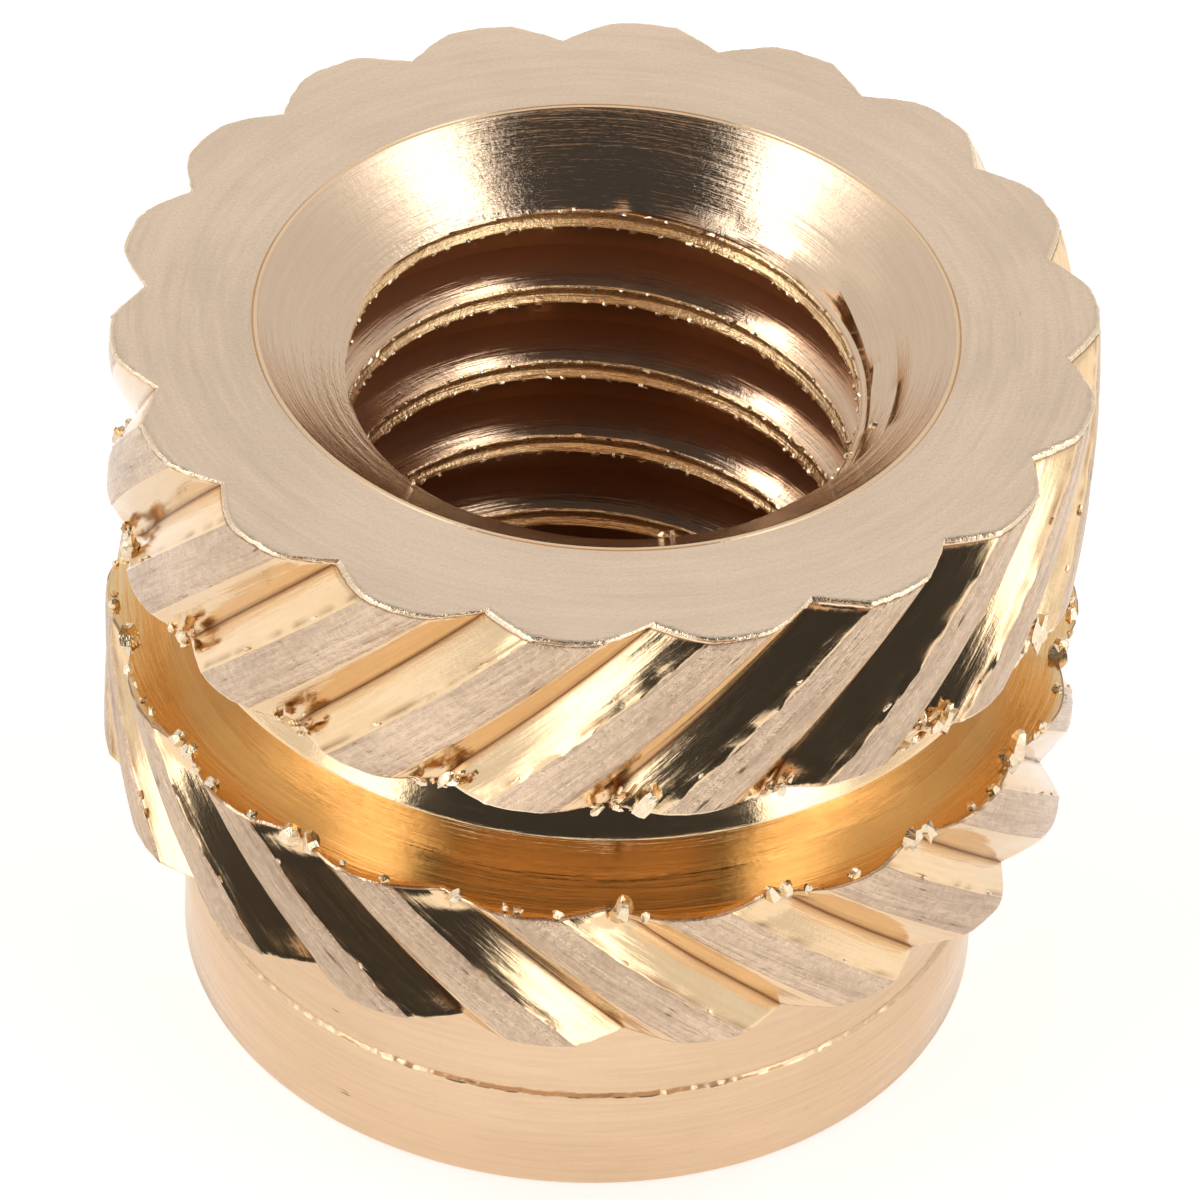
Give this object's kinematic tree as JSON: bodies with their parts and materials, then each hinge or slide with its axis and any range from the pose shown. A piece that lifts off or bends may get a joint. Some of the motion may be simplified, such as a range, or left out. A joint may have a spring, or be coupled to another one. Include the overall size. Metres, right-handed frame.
{
  "type": "threaded insert",
  "caption": "Turned brass sleeve that melts into a plastic hole and gives it a metal screw thread; knurled bands of opposite hand and an undercut waist grip the plastic.",
  "frame": {"origin": "centre of the pilot end's bottom face", "axes": "+Z along the bore axis, from the pilot end to the countersunk head face; +Y and +X square to it, with the front of the knurl pattern towards -Y"},
  "size_m": [0.005, 0.005, 0.004],
  "materials": {
    "brass": "turned, satin on the flats, with bright cut knurl flanks"
  },
  "bodies": {
    "root": {"insert": "brass"}
  },
  "joints": []
}
